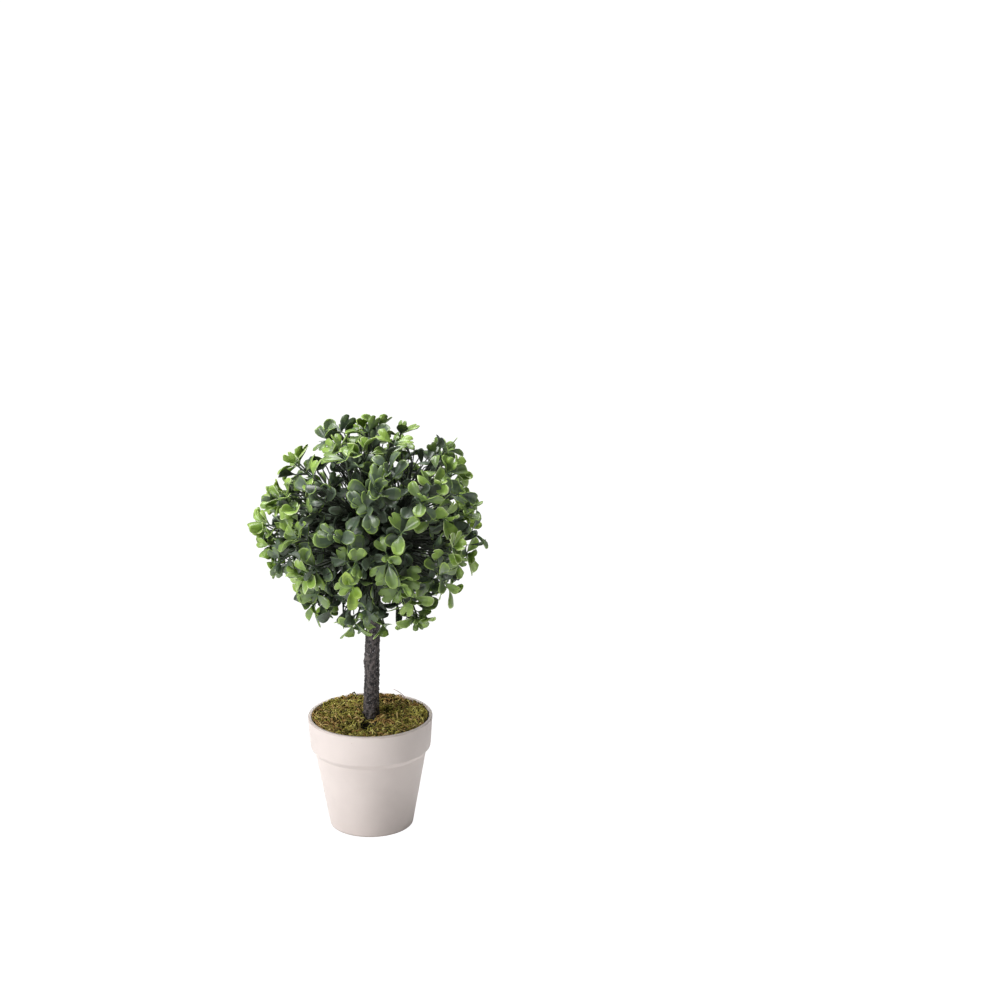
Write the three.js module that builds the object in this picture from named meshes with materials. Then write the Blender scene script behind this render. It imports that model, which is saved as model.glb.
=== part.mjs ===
// Box topiary ball: a small artificial box plant clipped to a ball, on one bare stem,
// set in a bed of moss in a plastic pot with a collar.
// Millimetres, +Z up. The origin is the centre of the pot's flat underside.

import * as THREE from 'three';
import { mergeVertices } from 'three/addons/utils/BufferGeometryUtils.js';

// ---------------------------------------------------------------- driving dimensions

const TOTAL_HEIGHT = 280;
const POT_HEIGHT = 76.8;
const TOUCHING_GAP = 0.4;

const POT = {
  rimRadius: 41.5,
  collarHeight: 20.8,
  collarFootRadius: 40.2,
  collarUndercut: 3.6,
  wallTopRadius: 37.4,
  baseRadius: 28,
  footEdgeRadius: 1.5,
  lipEdgeRadius: 0.6,
  wall: 2.2,
  floor: 2.4,
  sides: 44,
};

const MOSS = {
  edgeHeight: 74.6,
  mound: 1.2,
  unevenness: 0.9,
  broadBump: 4.7,
  fineBump: 3,
  fineShare: 0.6,
  socketDepth: 26,
  rings: 5,
  sides: 32,
};

const TRUNK = {
  footX: 0.45,
  leanDegrees: 1.9,
  footRadius: 5.2,
  topRadius: 4.6,
  flare: 0.5,
  flareHeight: 5,
  ripple: 0.12,
  rippleRise: 7,
  topBelowCrownCentre: 3,
  sides: 12,
  steps: 26,
};

// Small knots that stand out of the bark: height above the moss, bearing and how far they stand out.
const KNOTS = [
  { rise: 38.4, bearing: 180, stand: 0.9, spread: 2.6 },
  { rise: 26.4, bearing: 285, stand: 0.7, spread: 2.8 },
  { rise: 14.4, bearing: 60, stand: 0.6, spread: 3.2 },
];

const CROWN = {
  centreX: 1.6,
  height: 144.4,
  hollowRadius: 23,
  seedRadius: 47,
  massGap: 1.3,
  trunkClearance: 2,
  cornerSharpness: 7,
  unevenness: 0.13,
  bearingSway: 7,
  elevationSway: 5,
  detail: 3,
};

// The masses stand in rings round the crown's centre. Reach is from that centre to a mass's tips.
const RINGS = [
  { name: 'top', elevation: 88, firstBearing: 0, reach: [72.8] },
  { name: 'upper', elevation: 37, firstBearing: 40, reach: [79.5, 76, 74, 75.5, 78] },
  { name: 'middle', elevation: -5, firstBearing: 2, reach: [77.5, 76, 75, 77.5, 75, 77] },
  { name: 'lower', elevation: -48, firstBearing: 62, reach: [75, 73, 71.5, 74.5, 77] },
];

// A bough leaves the trunk's side the lower, the lower its mass lies: headings are the rise of the
// lowest and highest masses' directions, drops are how far below the trunk's tip their boughs start.
const BOUGH = {
  headings: [-0.8, 0.6],
  drops: [11, 3],
  barkRoom: 0.9,
  footRadius: 1.6,
  tipRadius: 1.1,
  bow: 2.2,
  sides: 6,
  steps: 4,
};

const UP = new THREE.Vector3(0, 0, 1);
const MOSS_TOP = MOSS.edgeHeight + MOSS.mound;
const CROWN_CENTRE = new THREE.Vector3(CROWN.centreX, 0, TOTAL_HEIGHT - CROWN.height / 2);
const TRUNK_TOP = CROWN_CENTRE.z - TRUNK.topBelowCrownCentre;
const TRUNK_FOOT = MOSS.edgeHeight - MOSS.socketDepth + TOUCHING_GAP;
const LEAN = Math.tan(THREE.MathUtils.degToRad(TRUNK.leanDegrees));

// ---------------------------------------------------------------- small helpers

// Signed volume: positive when the faces of a closed mesh point outwards.
function signedVolume(geometry) {
  const place = geometry.attributes.position;
  const index = geometry.index.array;
  const [a, b, c] = [new THREE.Vector3(), new THREE.Vector3(), new THREE.Vector3()];
  let volume = 0;
  for (let i = 0; i < index.length; i += 3) {
    a.fromBufferAttribute(place, index[i]);
    b.fromBufferAttribute(place, index[i + 1]);
    c.fromBufferAttribute(place, index[i + 2]);
    volume += a.dot(b.cross(c)) / 6;
  }
  return volume;
}

// Welds a geometry into one closed skin without the flat slivers at its poles, faces outwards.
function weld(geometry) {
  geometry.deleteAttribute('normal');
  geometry.deleteAttribute('uv');
  const welded = mergeVertices(geometry, 1e-4);
  const kept = [];
  const index = welded.index.array;
  for (let i = 0; i < index.length; i += 3) {
    const [a, b, c] = [index[i], index[i + 1], index[i + 2]];
    if (a !== b && b !== c && c !== a) {
      kept.push(a, b, c);
    }
  }
  welded.setIndex(kept);
  if (signedVolume(welded) < 0) {
    welded.setIndex(kept.reverse());
  }
  welded.computeVertexNormals();
  return welded;
}

// Moves every vertex of a geometry to where the function puts it.
function reshape(geometry, move) {
  const place = geometry.attributes.position;
  const point = new THREE.Vector3();
  for (let i = 0; i < place.count; i += 1) {
    move(point.fromBufferAttribute(place, i));
    place.setXYZ(i, point.x, point.y, point.z);
  }
  return geometry;
}

function piece(name, geometry, colour, roughness) {
  const material = new THREE.MeshStandardMaterial({ color: colour, roughness, metalness: 0 });
  const mesh = new THREE.Mesh(geometry, material);
  mesh.name = name;
  return mesh;
}

// Points of an arc in a lathe profile, angles in degrees from the outward direction.
function arc(r, z, radius, from, to, steps) {
  const points = [];
  for (let i = 0; i <= steps; i += 1) {
    const angle = THREE.MathUtils.degToRad(from + ((to - from) * i) / steps);
    points.push(new THREE.Vector2(r + radius * Math.cos(angle), z + radius * Math.sin(angle)));
  }
  return points;
}

// A lathe about +Z, from a profile of (radius, height) that starts and ends on the axis.
function turned(profile, sides) {
  return new THREE.LatheGeometry(profile, sides).rotateX(Math.PI / 2);
}

function direction(bearing, elevation) {
  const [turn, rise] = [bearing, elevation].map(THREE.MathUtils.degToRad);
  return new THREE.Vector3(Math.cos(rise) * Math.cos(turn), Math.cos(rise) * Math.sin(turn), Math.sin(rise));
}

// Slow waves over a sphere of directions, between -1 and 1. The phase gives each mass its own.
function waves(d, phase) {
  const [broadTurns, fineTurns] = [4.1, 8.7];
  let [broad, fine] = [0, 1];
  [d.x, d.y, d.z].forEach((along, axis) => {
    broad += Math.sin(broadTurns * along + (axis + 1) * phase);
    fine *= Math.sin(fineTurns * along + (axis - 1) * phase);
  });
  return (broad + 2 * fine) / 5;
}

// ---------------------------------------------------------------- pot

const collarFootHeight = POT_HEIGHT - POT.collarHeight;

// The inside of the pot's wall at a height, which the moss keeps clear of.
function innerRadius(height) {
  const step = collarFootHeight - POT.collarUndercut;
  if (height > collarFootHeight) {
    const share = (height - collarFootHeight) / POT.collarHeight;
    return THREE.MathUtils.lerp(POT.collarFootRadius, POT.rimRadius, share) - POT.wall;
  }
  const wall = THREE.MathUtils.lerp(POT.baseRadius, POT.wallTopRadius, height / step) - POT.wall;
  const collar = POT.collarFootRadius - POT.wall;
  return height > step ? THREE.MathUtils.lerp(wall, collar, (height - step) / POT.collarUndercut) : wall;
}

function makePot() {
  const step = collarFootHeight - POT.collarUndercut;
  const foot = POT.footEdgeRadius;
  const lip = POT.lipEdgeRadius;
  const profile = [
    new THREE.Vector2(0, 0),
    ...arc(POT.baseRadius - foot, foot, foot, -90, -8, 3),
    new THREE.Vector2(POT.wallTopRadius, step),
    ...arc(POT.collarFootRadius - 1, collarFootHeight, 1, -60, 0, 2),
    ...arc(POT.rimRadius - lip, POT_HEIGHT - lip, lip, 0, 90, 3),
    ...arc(POT.rimRadius - POT.wall + lip, POT_HEIGHT - lip, lip, 90, 180, 3),
    new THREE.Vector2(innerRadius(collarFootHeight), collarFootHeight),
    new THREE.Vector2(innerRadius(step), step),
    new THREE.Vector2(innerRadius(POT.floor), POT.floor),
    new THREE.Vector2(0, POT.floor),
  ];
  return piece('pot', weld(turned(profile, POT.sides)), 0xe6deda, 0.62);
}

// ---------------------------------------------------------------- trunk

function trunkAxisX(height) {
  return TRUNK.footX + LEAN * (height - MOSS.edgeHeight);
}

// The bark's distance from the trunk's axis, with the flare at its foot and its knots.
function trunkRadius(height, bearing) {
  const share = (height - TRUNK_FOOT) / (TRUNK_TOP - TRUNK_FOOT);
  const aboveMoss = height - MOSS_TOP;
  let radius = THREE.MathUtils.lerp(TRUNK.footRadius, TRUNK.topRadius, share);
  radius += TRUNK.flare * Math.exp(-Math.max(aboveMoss, 0) / TRUNK.flareHeight);
  const climb = height / TRUNK.rippleRise;
  radius += TRUNK.ripple * (Math.sin(3 * bearing + climb) + Math.sin(5 * bearing - 1.5 * climb));
  for (const knot of KNOTS) {
    const along = aboveMoss - knot.rise;
    const turn = bearing - THREE.MathUtils.degToRad(knot.bearing);
    const across = radius * Math.atan2(Math.sin(turn), Math.cos(turn));
    radius += knot.stand * Math.exp(-(along ** 2 + across ** 2) / (knot.spread ** 2 / 2));
  }
  return radius;
}

function makeTrunk() {
  const height = TRUNK_TOP - TRUNK_FOOT;
  const rod = new THREE.CylinderGeometry(1, 1, height, TRUNK.sides, TRUNK.steps).rotateX(Math.PI / 2);
  reshape(rod, (point) => {
    const z = point.z + TRUNK_FOOT + height / 2;
    const bearing = Math.atan2(point.y, point.x);
    const radius = Math.hypot(point.x, point.y) * trunkRadius(z, bearing);
    point.set(trunkAxisX(z) + radius * Math.cos(bearing), radius * Math.sin(bearing), z);
  });
  return piece('trunk', weld(rod), 0x46403f, 0.9);
}

// ---------------------------------------------------------------- moss bed

// The moss's height over the pot's axis: a low mound with an uneven top.
function mossHeight(x, y) {
  const share = Math.hypot(x, y) / innerRadius(MOSS.edgeHeight);
  const broad = Math.sin(x / MOSS.broadBump + 1) * Math.sin(y / MOSS.broadBump + 2);
  const fine = Math.sin((x - y) / MOSS.fineBump);
  const bumps = THREE.MathUtils.lerp(broad, fine, MOSS.fineShare / 2);
  return MOSS.edgeHeight + MOSS.mound * (1 - share ** 2) + MOSS.unevenness * bumps;
}

function makeMossBed() {
  const step = collarFootHeight - POT.collarUndercut;
  const floor = POT.floor + TOUCHING_GAP;
  const rim = innerRadius(MOSS.edgeHeight) - TOUCHING_GAP;
  const socket = TRUNK.footRadius + TRUNK.flare + LEAN * MOSS.socketDepth + 2 * TOUCHING_GAP;
  const socketFloor = MOSS.edgeHeight - MOSS.socketDepth;
  const profile = [
    new THREE.Vector2(0, floor),
    new THREE.Vector2(innerRadius(floor) - TOUCHING_GAP, floor),
    new THREE.Vector2(innerRadius(step) - TOUCHING_GAP, step),
    new THREE.Vector2(innerRadius(collarFootHeight) - TOUCHING_GAP, collarFootHeight),
  ];
  for (let ring = 0; ring <= MOSS.rings; ring += 1) {
    profile.push(new THREE.Vector2(THREE.MathUtils.lerp(rim, socket, ring / MOSS.rings), MOSS.edgeHeight));
  }
  profile.push(new THREE.Vector2(socket, socketFloor));
  profile.push(new THREE.Vector2(0, socketFloor));
  const bed = turned(profile, MOSS.sides);
  reshape(bed, (point) => {
    const inSocket = point.z > floor + 1 && Math.hypot(point.x, point.y) < socket + 0.01;
    if (point.z > MOSS.edgeHeight - 0.01) {
      point.z = mossHeight(point.x, point.y);
    }
    if (inSocket) {
      point.x += TRUNK.footX;
    }
  });
  return piece('moss_bed', weld(bed), 0x6d6a2c, 1);
}

// ---------------------------------------------------------------- crown

const masses = RINGS.flatMap((ring, ringNumber) =>
  ring.reach.map((reach, i) => {
    const phase = 2.1 * i + 1.3 * ringNumber;
    const sway = CROWN.bearingSway * Math.sin(3 * phase);
    const bearing = ring.firstBearing + (360 * i) / ring.reach.length + sway;
    const elevation = ring.elevation + (i > 0 ? CROWN.elevationSway * Math.sin(5 * phase) : 0);
    const label = ring.reach.length > 1 ? `${ring.name}_${i + 1}` : ring.name;
    return { label, heading: direction(bearing, elevation), reach, phase };
  }),
);

// How far a ray from inside a sphere about the crown's centre runs before it leaves the sphere.
function wayOutOfSphere(start, ray, radius) {
  const along = start.dot(ray);
  return -along + Math.sqrt(along ** 2 - start.lengthSq() + radius ** 2);
}

// How far a ray runs before it enters a sphere about the crown's centre.
function wayIntoSphere(start, ray, radius) {
  const along = start.dot(ray);
  const under = along ** 2 - start.lengthSq() + radius ** 2;
  return along < 0 && under > 0 ? -along - Math.sqrt(under) : Infinity;
}

// How far a ray runs before it enters the upright clearance round the trunk.
function wayIntoTrunk(start, ray) {
  const axis = (trunkAxisX(TRUNK_TOP) + trunkAxisX(TRUNK_TOP - CROWN.height / 2)) / 2 - CROWN_CENTRE.x;
  const from = new THREE.Vector2(start.x - axis, start.y);
  const flat = new THREE.Vector2(ray.x, ray.y);
  const speed = flat.length();
  const along = from.dot(flat) / speed;
  const clearance = TRUNK.footRadius + CROWN.trunkClearance;
  const under = along ** 2 - from.lengthSq() + clearance ** 2;
  if (along >= 0 || under <= 0) {
    return Infinity;
  }
  const way = (-along - Math.sqrt(under)) / speed;
  const meetsAt = start.z + ray.z * way;
  return meetsAt < -TRUNK.topBelowCrownCentre + CROWN.trunkClearance ? way : Infinity;
}

// How far a ray from a mass's seed runs to the mass's skin. The mass fills the space nearer its own
// heading than any other's, between the hollow round the boughs and its uneven outer face.
function wayToSkin(mass, ray) {
  const seed = mass.heading.clone().multiplyScalar(CROWN.seedRadius);
  const ways = [wayIntoSphere(seed, ray, CROWN.hollowRadius), wayIntoTrunk(seed, ray)];
  for (const other of masses) {
    const side = mass.heading.clone().sub(other.heading).normalize();
    const approach = -ray.dot(side);
    if (other !== mass && approach > 0) {
      ways.push((seed.dot(side) - CROWN.massGap) / approach);
    }
  }
  ways.push(wayOutOfSphere(seed, ray, mass.reach));
  const power = -CROWN.cornerSharpness;
  const sum = ways.reduce((total, way) => total + way ** power, 0);
  return sum ** (1 / power) * (1 - (CROWN.unevenness * (1 - waves(ray, mass.phase))) / 2);
}

// An uneven lump round its seed. It then grows about the crown's centre, which moves it away from
// its neighbours, until its furthest tip is at its reach.
function makeMass(mass) {
  const seed = mass.heading.clone().multiplyScalar(CROWN.seedRadius);
  const lump = new THREE.IcosahedronGeometry(1, CROWN.detail);
  let furthest = 0;
  reshape(lump, (point) => {
    point.multiplyScalar(wayToSkin(mass, point.clone().normalize())).add(seed);
    furthest = Math.max(furthest, point.length());
  });
  mass.growth = mass.reach / furthest;
  reshape(lump, (point) => point.multiplyScalar(mass.growth).sub(seed));
  const mesh = piece(`foliage_${mass.label}`, weld(lump), 0x47733a, 0.6);
  mesh.position.copy(seed);
  return mesh;
}

// ---------------------------------------------------------------- boughs

// One tapering limb along a curve.
function limb(curve, footRadius, tipRadius, sides, steps) {
  const rod = new THREE.CylinderGeometry(1, 1, 1, sides, steps);
  const start = curve.getPoint(0);
  const reference = Math.abs(start.x) > 1 ? UP : new THREE.Vector3(1, 0, 0);
  const sideways = curve.getTangent(0).cross(reference).normalize();
  return reshape(rod, (point) => {
    const share = point.y + 0.5;
    const forward = curve.getTangent(share);
    const across = forward.clone().cross(sideways).normalize();
    const radius = THREE.MathUtils.lerp(footRadius, tipRadius, share);
    const [u, v] = [point.x * radius, point.z * radius];
    point.copy(curve.getPoint(share)).addScaledVector(sideways, u).addScaledVector(across, v);
  });
}

// Where a mass's bough leaves the trunk: the top bough from its tip, the others from its sides,
// those to lower masses from further down.
function boughFoot(mass) {
  const tip = new THREE.Vector3(trunkAxisX(TRUNK_TOP) - CROWN_CENTRE.x, 0, -TRUNK.topBelowCrownCentre);
  if (mass.heading.z > 0.99) {
    return tip.add(new THREE.Vector3(0, 0, TOUCHING_GAP));
  }
  const drop = THREE.MathUtils.mapLinear(mass.heading.z, ...BOUGH.headings, ...BOUGH.drops);
  const level = new THREE.Vector3(mass.heading.x, mass.heading.y, 0).normalize();
  const away = TRUNK.topRadius + BOUGH.barkRoom + BOUGH.footRadius + TOUCHING_GAP;
  return tip.addScaledVector(level, away).add(new THREE.Vector3(0, 0, -drop));
}

function makeBough(mass) {
  const foot = boughFoot(mass);
  const seed = mass.heading.clone().multiplyScalar(CROWN.seedRadius);
  const back = foot.clone().sub(seed).normalize();
  const skin = seed.clone().addScaledVector(back, wayToSkin(mass, back)).multiplyScalar(mass.growth);
  const tip = skin.addScaledVector(back, 2 * TOUCHING_GAP);
  const middle = foot.clone().lerp(tip, 0.5).addScaledVector(UP, BOUGH.bow * (1 - mass.heading.z ** 2));
  const curve = new THREE.QuadraticBezierCurve3(foot, middle, tip);
  const rod = limb(curve, BOUGH.footRadius, BOUGH.tipRadius, BOUGH.sides, BOUGH.steps);
  return piece(`bough_${mass.label}`, weld(rod), 0x33402f, 0.8);
}

// ---------------------------------------------------------------- assembly

const plant = new THREE.Group();
plant.add(makePot(), makeMossBed(), makeTrunk());

const crown = new THREE.Group();
crown.position.copy(CROWN_CENTRE);
for (const mass of masses) {
  crown.add(makeMass(mass), makeBough(mass));
}
plant.add(crown);

export default plant;
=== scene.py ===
"""Artificial box topiary ball in a pot: the looks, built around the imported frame.

The pot, the moss, the trunk, the crown and the stage each have an operator. The crown's stems grow
from the frame's boughs to the skins of its foliage masses by a seeded rule, and carry moulded leaves.
All sizes are in metres, in the frame's own axes.
"""

import math
import random

import bmesh
import bpy
import numpy as np
from bpy.props import FloatProperty, FloatVectorProperty, IntProperty, PointerProperty
from bpy.types import Operator, Panel, PropertyGroup
from mathutils import Matrix, Vector, noise
from mathutils.bvhtree import BVHTree


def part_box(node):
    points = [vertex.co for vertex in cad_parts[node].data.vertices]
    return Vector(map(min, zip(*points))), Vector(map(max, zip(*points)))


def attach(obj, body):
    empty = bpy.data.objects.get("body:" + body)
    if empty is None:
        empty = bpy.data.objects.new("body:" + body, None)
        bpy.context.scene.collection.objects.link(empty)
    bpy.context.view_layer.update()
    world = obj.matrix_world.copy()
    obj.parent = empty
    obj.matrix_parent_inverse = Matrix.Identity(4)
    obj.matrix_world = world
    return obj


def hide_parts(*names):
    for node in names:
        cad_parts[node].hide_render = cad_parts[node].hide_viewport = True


bl_info = {
    "name": "Potted Box Ball",
    "version": (1, 0, 0),
    "blender": (4, 5, 0),
    "location": "View3D > Sidebar > Box Ball",
    "description": "Builds the pot, moss, bark, stems and leaves of an artificial box ball",
    "category": "Add Mesh",
}

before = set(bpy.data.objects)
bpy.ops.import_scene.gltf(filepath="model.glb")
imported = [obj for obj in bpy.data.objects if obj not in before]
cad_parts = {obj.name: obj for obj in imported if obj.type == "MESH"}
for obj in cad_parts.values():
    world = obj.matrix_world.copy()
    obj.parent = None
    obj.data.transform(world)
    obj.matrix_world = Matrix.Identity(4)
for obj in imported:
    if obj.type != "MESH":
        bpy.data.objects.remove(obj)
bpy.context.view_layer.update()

MM = 0.001
BODY = "root"
MASS_NODES = sorted(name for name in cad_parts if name.startswith("foliage_"))
BOUGH_NODES = sorted(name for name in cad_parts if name.startswith("bough_"))


# -------------------- Settings


def number_setting(name, description, value):
    return FloatProperty(name=name, description=description, default=value)


def count_setting(name, description, value):
    return IntProperty(name=name, description=description, default=value, min=0)


def length_setting(name, description, millimetres):
    return FloatProperty(
        name=name, description=description, default=millimetres * MM, unit="LENGTH", precision=5
    )


def colour_setting(name, description, *channels):
    """A colour from its screen values, 0 to 255."""
    return FloatVectorProperty(
        name=name, description=description, default=linear(*channels), size=3, subtype="COLOR", min=0, max=1
    )


def linear(*channels):
    """A colour's linear values from its screen values, 0 to 255."""
    values = [channel / 255 for channel in channels]
    return tuple(v / 12.92 if v <= 0.04045 else ((v + 0.055) / 1.055) ** 2.4 for v in values)


class BoxBallPotSettings(PropertyGroup):
    wall: length_setting("Wall", "Thickness of the pot's wall", 2.2)
    floor: length_setting("Floor", "Thickness of the pot's floor", 2.4)
    shoulder: length_setting("Shoulder", "Rounding of the collar's lower edge", 1.6)
    crease: length_setting("Crease", "Rounding of the corner under the collar", 0.5)
    foot_edge: length_setting("Foot edge", "Rounding of the edge round the underside", 1.3)
    lip_edge: length_setting("Lip edge", "Rounding of the flat lip's two edges", 0.6)
    collar_drop: length_setting("Collar", "Height of the collar's straight side", 20.8)
    undercut: length_setting("Undercut", "Height of the slope under the collar", 3.6)
    collar_foot_radius: length_setting("Collar foot", "Radius of the collar's lower edge", 40.2)
    wall_top_radius: length_setting("Wall top", "Radius of the wall right under the collar", 37.4)
    base_radius: length_setting("Base", "Radius of the wall at the underside", 28)
    body_colour: colour_setting("Body", "Cream of the moulded wall", 221, 210, 205)
    shade_colour: colour_setting("Mottle", "Slightly greyer cream in the mottling", 206, 195, 190)
    # This brown also paints the shade along the pot's foot.
    wear_and_foot_shade_colour: colour_setting("Worn lip", "Brown of the rubbed lip, foot and specks", 150, 128, 112)


class BoxBallMossSettings(PropertyGroup):
    strands: count_setting("Strands", "Number of curly strands", 2400)
    edge_strands: count_setting("Edge strands", "Strands laid round the edge", 300)
    strand_length: length_setting("Strand length", "Mean length of a strand", 8.5)
    strand_radius: length_setting("Strand radius", "Mean radius of a strand", 0.42)
    socket: length_setting("Socket", "Radius of the bed's hole for the trunk", 6)
    clump: length_setting("Clumps", "Height of the bed's clumps", 2.2)
    fullness: length_setting("Fullness", "How far the clumps stand above the frame's bed", 0.5)
    hair_length: length_setting("Hair", "Length of the one loose red hair", 13)
    hair_colour: colour_setting("Hair", "Dull red of the loose hair", 158, 96, 88)
    # The bed's dark colour is painted shade between the strands.
    bed_shade_colour: colour_setting("Bed", "Dark bed between the strands", 46, 40, 22)


class BoxBallTrunkSettings(PropertyGroup):
    grain: length_setting("Grain", "Height of the bark's grains", 0.8)
    fibre: length_setting("Fibres", "Height of the bark's long fibres", 0.3)
    bark_colour: colour_setting("Bark", "Main grey-brown of the bark", 94, 86, 85)
    # The grooves' near-black is painted shade.
    groove_shade_colour: colour_setting("Grooves", "Near-black in the grooves", 27, 24, 27)
    fleck_colour: colour_setting("Flecks", "Pale grey flecks on the grains", 168, 164, 168)


class BoxBallCrownSettings(PropertyGroup):
    seed: count_setting("Seed", "Seed of the branching rule", 11)
    sprays: count_setting("Sprays", "Number of leafy stems round the ball", 106)
    # Their near-black tones are painted shade of the crown's core.
    bough_leaves: count_setting("Bough leaves", "Dark leaves on each bough", 6)
    spoon_length: length_setting("Spoon leaf", "Length of a spoon-shaped leaf with its stalk", 15.5)
    heart_length: length_setting("Heart leaf", "Length of a two-lobed leaf with its stalk", 13.8)
    leaf_thickness: length_setting("Leaf thickness", "Thickness of the moulded leaves", 0.45)
    stem_radius: length_setting("Stem radius", "Radius of a leafy stem at its foot", 0.8)
    stem_colour: colour_setting("Stems", "Dark green of the stems", 62, 74, 54)
    # The stalks' green is darker than the stems' as painted shade of the crown's middle.
    shaded_stalk_colour: colour_setting("Stalks", "Dark green of the bare inner stalks", 46, 52, 42)
    needle_colour: colour_setting("Needles", "Green of the needles at the tips", 86, 112, 78)


class BoxBallStageSettings(PropertyGroup):
    key_power: number_setting("Key light", "Power of the key light in watts", 19.5)
    fill_power: number_setting("Fill light", "Power of the fill light in watts", 0.05)
    top_power: number_setting("Top light", "Power of the top light in watts", 22)
    sky: number_setting("Sky", "Brightness of the surroundings as a light", 0.29)
    floor_glow: number_setting("Floor glow", "How much whiter the floor looks than it shines", 0.9)
    floor_colour: colour_setting("Floor", "Pale floor", 232, 232, 232)


def settings(name):
    return getattr(bpy.context.scene, name)


# -------------------- Meshes


def finish_piece(mesh, materials, stands_for):
    """Links a finished mesh as a piece that rides on the plant and stands for CAD nodes."""
    piece = bpy.data.objects.new(mesh.name, mesh)
    bpy.context.scene.collection.objects.link(piece)
    for material in materials:
        mesh.materials.append(material)
    mesh.shade_smooth()
    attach(piece, BODY)
    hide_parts(*stands_for)


def mesh_from(bm, name):
    mesh = bpy.data.meshes.new(name)
    bm.to_mesh(mesh)
    bm.free()
    return mesh


def spun(profile, steps):
    """A closed body of revolution about the Z axis from a profile of (radius, height)."""
    bm = bmesh.new()
    points = [bm.verts.new((radius, 0, height)) for radius, height in profile]
    edges = [bm.edges.new(pair) for pair in zip(points, points[1:])]
    bmesh.ops.spin(
        bm, geom=points + edges, cent=(0, 0, 0), axis=(0, 0, 1), angle=math.tau, steps=steps, use_merge=True
    )
    bmesh.ops.remove_doubles(bm, verts=bm.verts, dist=0.02 * MM)
    bmesh.ops.recalc_face_normals(bm, faces=bm.faces)
    return bm


def arc(radius, height, bend, start, end, steps):
    """Points of a rounded corner in a profile, angles in degrees from the outward direction."""
    angles = [math.radians(start + (end - start) * i / steps) for i in range(steps + 1)]
    return [(radius + bend * math.cos(a), height + bend * math.sin(a)) for a in angles]


def skin_of(node):
    """A tree for finding where rays meet a CAD node's skin."""
    bm = bmesh.new()
    bm.from_mesh(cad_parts[node].data)
    tree = BVHTree.FromBMesh(bm)
    bm.free()
    return tree


class Shape:
    """A small shape that is repeated: its points, its faces' corners and each face's zone."""

    def __init__(self, bm):
        bm.verts.index_update()
        self.points = np.array([vert.co for vert in bm.verts])
        self.corners = np.array([vert.index for face in bm.faces for vert in face.verts])
        self.sizes = np.array([len(face.verts) for face in bm.faces])
        self.zones = np.array([face.material_index for face in bm.faces])
        bm.free()


class Rod(Shape):
    """A closed rod that can be laid along a path of as many steps as it has."""

    def __init__(self, sides, steps):
        bm = bmesh.new()
        bmesh.ops.create_cone(bm, cap_ends=True, segments=sides, radius1=1, radius2=1, depth=1)
        bmesh.ops.translate(bm, vec=(0, 0, 0.5), verts=bm.verts)
        for step in range(1, steps):
            everything = bm.verts[:] + bm.edges[:] + bm.faces[:]
            bmesh.ops.bisect_plane(bm, geom=everything, plane_co=(0, 0, step / steps), plane_no=(0, 0, 1))
        super().__init__(bm)
        self.steps = steps
        self.ring = np.rint(self.points[:, 2] * steps).astype(int)

    def taper(self, foot, tip):
        """Radii that run evenly from the foot's to the tip's."""
        return np.linspace(foot, tip, self.steps + 1)

    def along(self, path, radii):
        """The rod's points laid along a path, with a radius at each of the path's points."""
        path = np.asarray(path)
        tangents = np.gradient(path, axis=0)
        tangents /= np.linalg.norm(tangents, axis=1)[:, None]
        across = np.cross(tangents[0], (0.31, 0.52, 0.79) if abs(tangents[0][0]) > 0.5 else (0.9, 0.2, 0.1))
        sides = np.empty_like(path)
        for i, tangent in enumerate(tangents):
            across = across - tangent * across.dot(tangent)
            across /= np.linalg.norm(across)
            sides[i] = across
        others = np.cross(tangents, sides)
        spread = self.points[:, :1] * sides[self.ring] + self.points[:, 1:2] * others[self.ring]
        return path[self.ring] + spread * np.asarray(radii)[self.ring][:, None]


class Heap:
    """Collects copies of small shapes and joins them into one mesh."""

    def __init__(self):
        self.points, self.corners, self.sizes, self.slots = [], [], [], []
        self.count = 0

    def add(self, shape, points, slots):
        self.points.append(points)
        self.corners.append(shape.corners + self.count)
        self.sizes.append(shape.sizes)
        self.slots.append(np.broadcast_to(slots, shape.sizes.shape))
        self.count += len(points)

    def add_rod(self, rod, path, radii, slot=0):
        self.add(rod, rod.along(path, radii), slot)

    def mesh(self, name):
        mesh = bpy.data.meshes.new(name)
        corners, sizes = np.concatenate(self.corners), np.concatenate(self.sizes)
        starts = np.concatenate([[0], np.cumsum(sizes)[:-1]])
        mesh.vertices.add(self.count)
        mesh.vertices.foreach_set("co", np.concatenate(self.points).astype(np.float32).ravel())
        mesh.loops.add(len(corners))
        mesh.loops.foreach_set("vertex_index", corners.astype(np.int32))
        mesh.polygons.add(len(sizes))
        mesh.polygons.foreach_set("loop_start", starts.astype(np.int32))
        mesh.polygons.foreach_set("material_index", np.concatenate(self.slots).astype(np.int32))
        mesh.update(calc_edges=True)
        mesh.validate()
        return mesh


def curve_points(start, bend, end, steps):
    """Points of a quadratic curve."""
    t = np.linspace(0, 1, steps + 1)[:, None]
    start, bend, end = (np.array(place) for place in (start, bend, end))
    return (1 - t) ** 2 * start + 2 * t * (1 - t) * bend + t**2 * end


# -------------------- Materials

GROUPS = {}


def new_group(name, inputs, outputs):
    """A node group that takes numbers, told by name and default, and gives numbers."""
    group = bpy.data.node_groups.new(name, "ShaderNodeTree")
    for label, default in inputs.items():
        socket = group.interface.new_socket(name=label, in_out="INPUT", socket_type="NodeSocketFloat")
        socket.default_value = default
    for label in outputs:
        group.interface.new_socket(name=label, in_out="OUTPUT", socket_type="NodeSocketFloat")
    return group, group.nodes.new("NodeGroupInput").outputs, group.nodes.new("NodeGroupOutput").inputs


def placed_group(tree, make, **values):
    """The outputs of a shared node group, placed in a material with its own values."""
    if make not in GROUPS:
        GROUPS[make] = make()
    node = add_node(tree, "ShaderNodeGroup", node_tree=GROUPS[make])
    for key, value in values.items():
        node.inputs[key].default_value = value
    return node.outputs


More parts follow.
